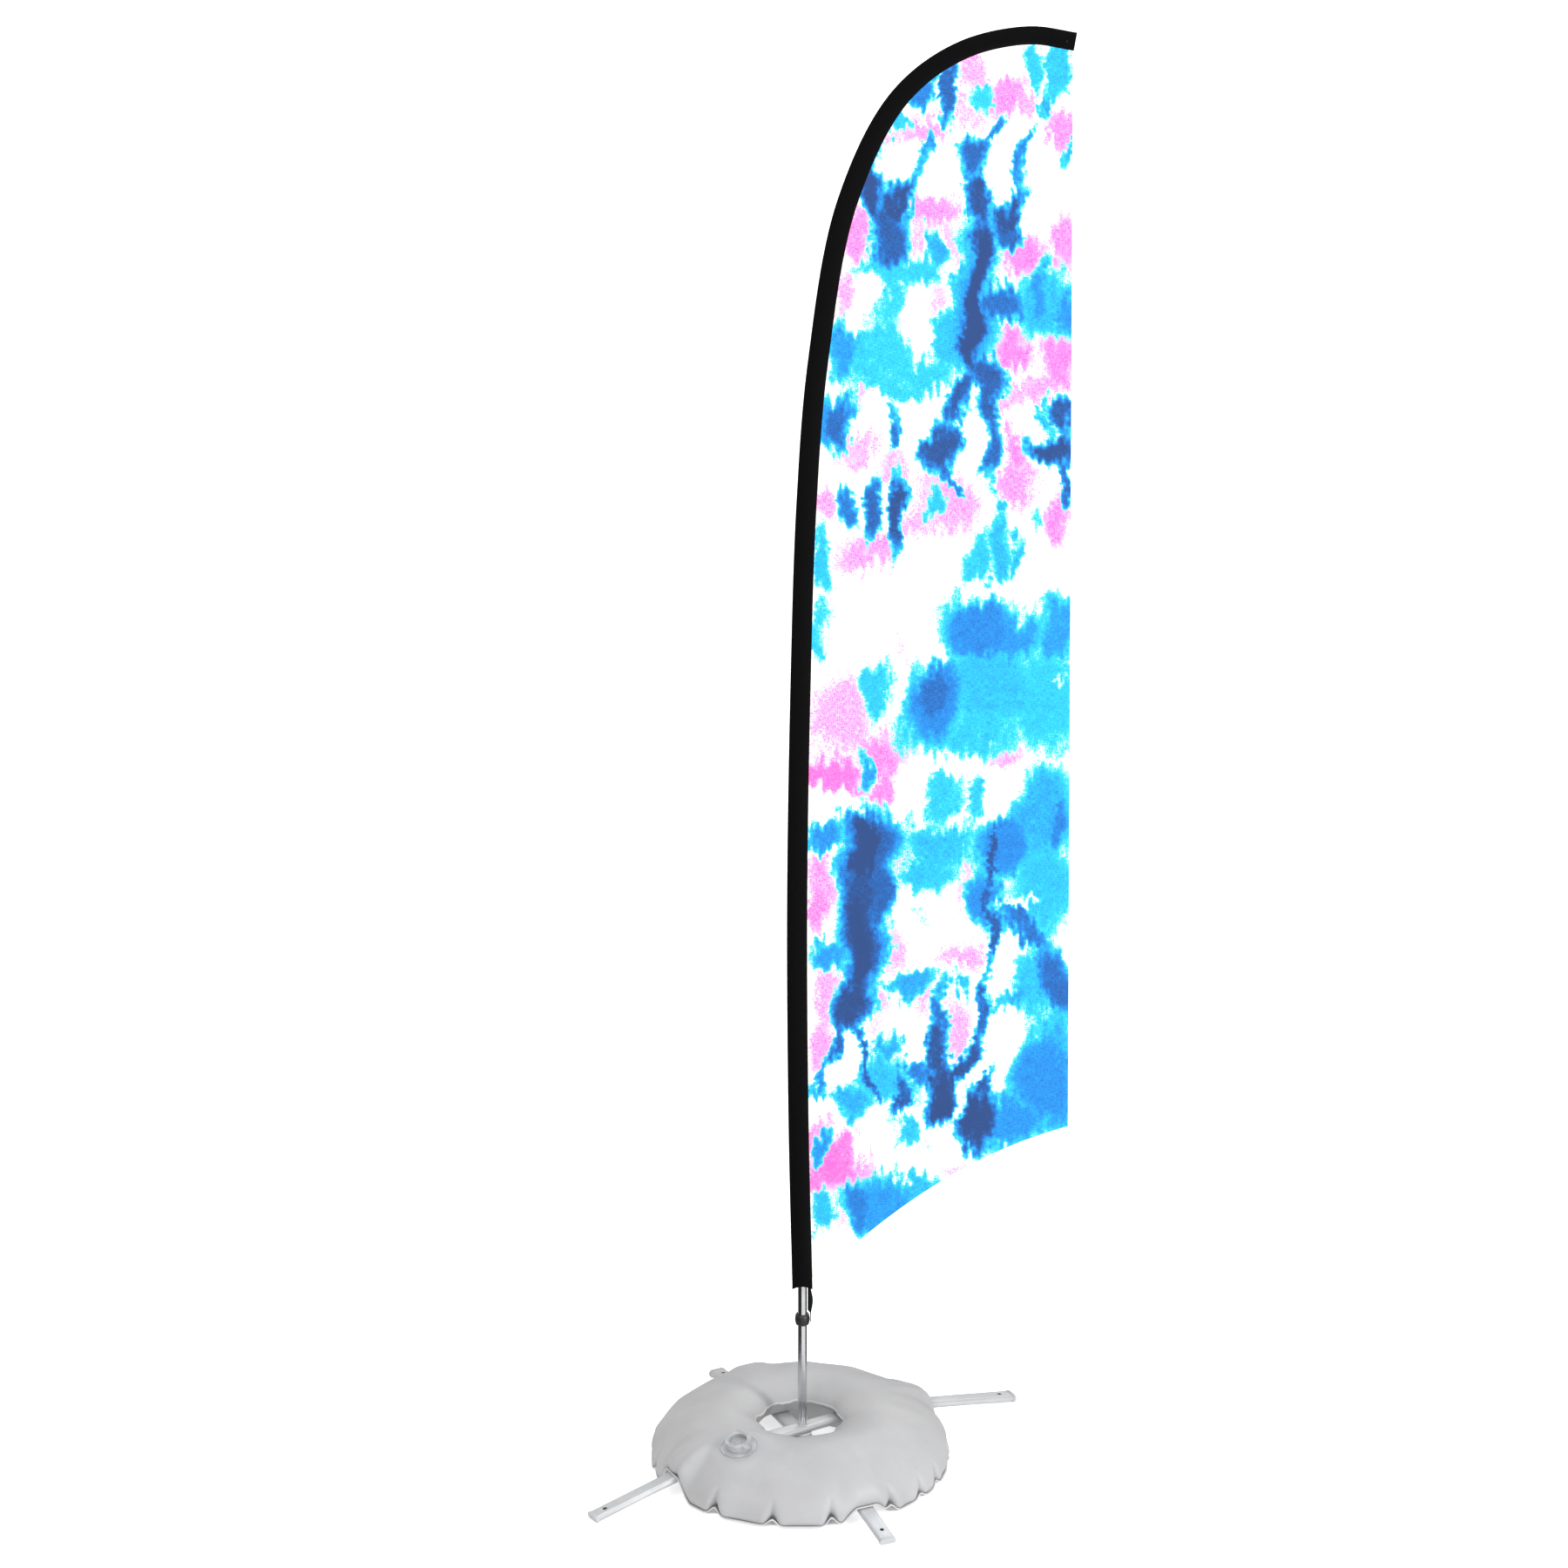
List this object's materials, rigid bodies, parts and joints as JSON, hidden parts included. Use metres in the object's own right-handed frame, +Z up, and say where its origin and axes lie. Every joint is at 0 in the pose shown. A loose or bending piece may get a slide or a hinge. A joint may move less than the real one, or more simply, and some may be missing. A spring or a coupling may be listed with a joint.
{
  "type": "feather flag with pole",
  "caption": "Feather flag: a tall curved banner in a black sleeve on a bowed sectional pole that turns on a folding cross base under a water-filled ring bag.",
  "frame": {"origin": "on the floor, under the middle of the whole flag's box", "axes": "+Z up, +X from the pole towards the banner's free edge, +Y from the flag's front to its back"},
  "size_m": [0.8324, 0.628, 2.7505],
  "materials": {
    "bar_metal": "satin light grey",
    "grey_plastic": "moulded, matt",
    "steel": "zinc plated",
    "nylon": "natural nylon",
    "chrome": "polished",
    "fibreglass": "dark resin",
    "rubber": "satin black",
    "black_fabric": "plain weave polyester",
    "print": "knitted polyester with a tie-dye print",
    "vinyl": "smooth pale grey PVC sheet",
    "clear_vinyl": "soft translucent PVC"
  },
  "bodies": {
    "base": {"upper_leg_bar": "bar_metal", "end_cap_right_back": "grey_plastic", "end_cap_left_front": "grey_plastic", "spindle": "steel", "pivot_disc": "nylon", "lower_washer": "steel", "lock_nut": "steel", "thrust_washer": "nylon"},
    "lower_leg": {"lower_leg_bar": "bar_metal", "end_cap_right_front": "grey_plastic", "end_cap_left_back": "grey_plastic"},
    "rotor": {"spindle_bush_lower": "nylon", "spindle_bush_upper": "nylon"},
    "mast": {"pole_tube_lower": "chrome", "pole_tube_middle": "steel", "pole_tube_upper": "fibreglass", "pole_tip_rod": "fibreglass", "stop_ring_1": "rubber", "stop_ring_2": "rubber", "stop_ring_3": "rubber", "pole_tip_cap": "rubber", "pole_sleeve": "black_fabric", "sleeve_tip_pocket": "black_fabric", "banner": "print", "tension_strap": "black_fabric"},
    "collar": {"tension_collar": "rubber"},
    "bag": {"water_bag": "vinyl", "valve_base": "clear_vinyl", "valve_tether": "clear_vinyl"},
    "plug": {"valve_plug": "clear_vinyl"}
  },
  "joints": [
    {"name": "base_fold", "type": "hinge", "parent": "base", "child": "lower_leg", "pos_m": [-0.04927, 0, 0.047], "axis": [0, 0, 1], "range_deg": [-73, 86], "deforming": ["water_bag"]},
    {"name": "pole_spin", "type": "hinge", "parent": "base", "child": "rotor", "pos_m": [-0.04927, 0, 0.0701], "axis": [0, 0, 1], "continuous": true},
    {"name": "pole_lift", "type": "slide", "parent": "rotor", "child": "mast", "axis": [0, 0, 1], "range_m": [0, 0.12]},
    {"name": "collar_slide", "type": "slide", "parent": "mast", "child": "collar", "axis": [0, 0, 1], "range_m": [-0.04, 0.03], "deforming": ["tension_strap"]},
    {"name": "bag_lift", "type": "slide", "parent": "base", "child": "bag", "axis": [0, 0, 1], "range_m": [0, 0.2]},
    {"name": "plug_pull", "type": "slide", "parent": "bag", "child": "plug", "axis": [-0.1308, -0.1616, 0.9781], "range_m": [0, 0.014]}
  ]
}
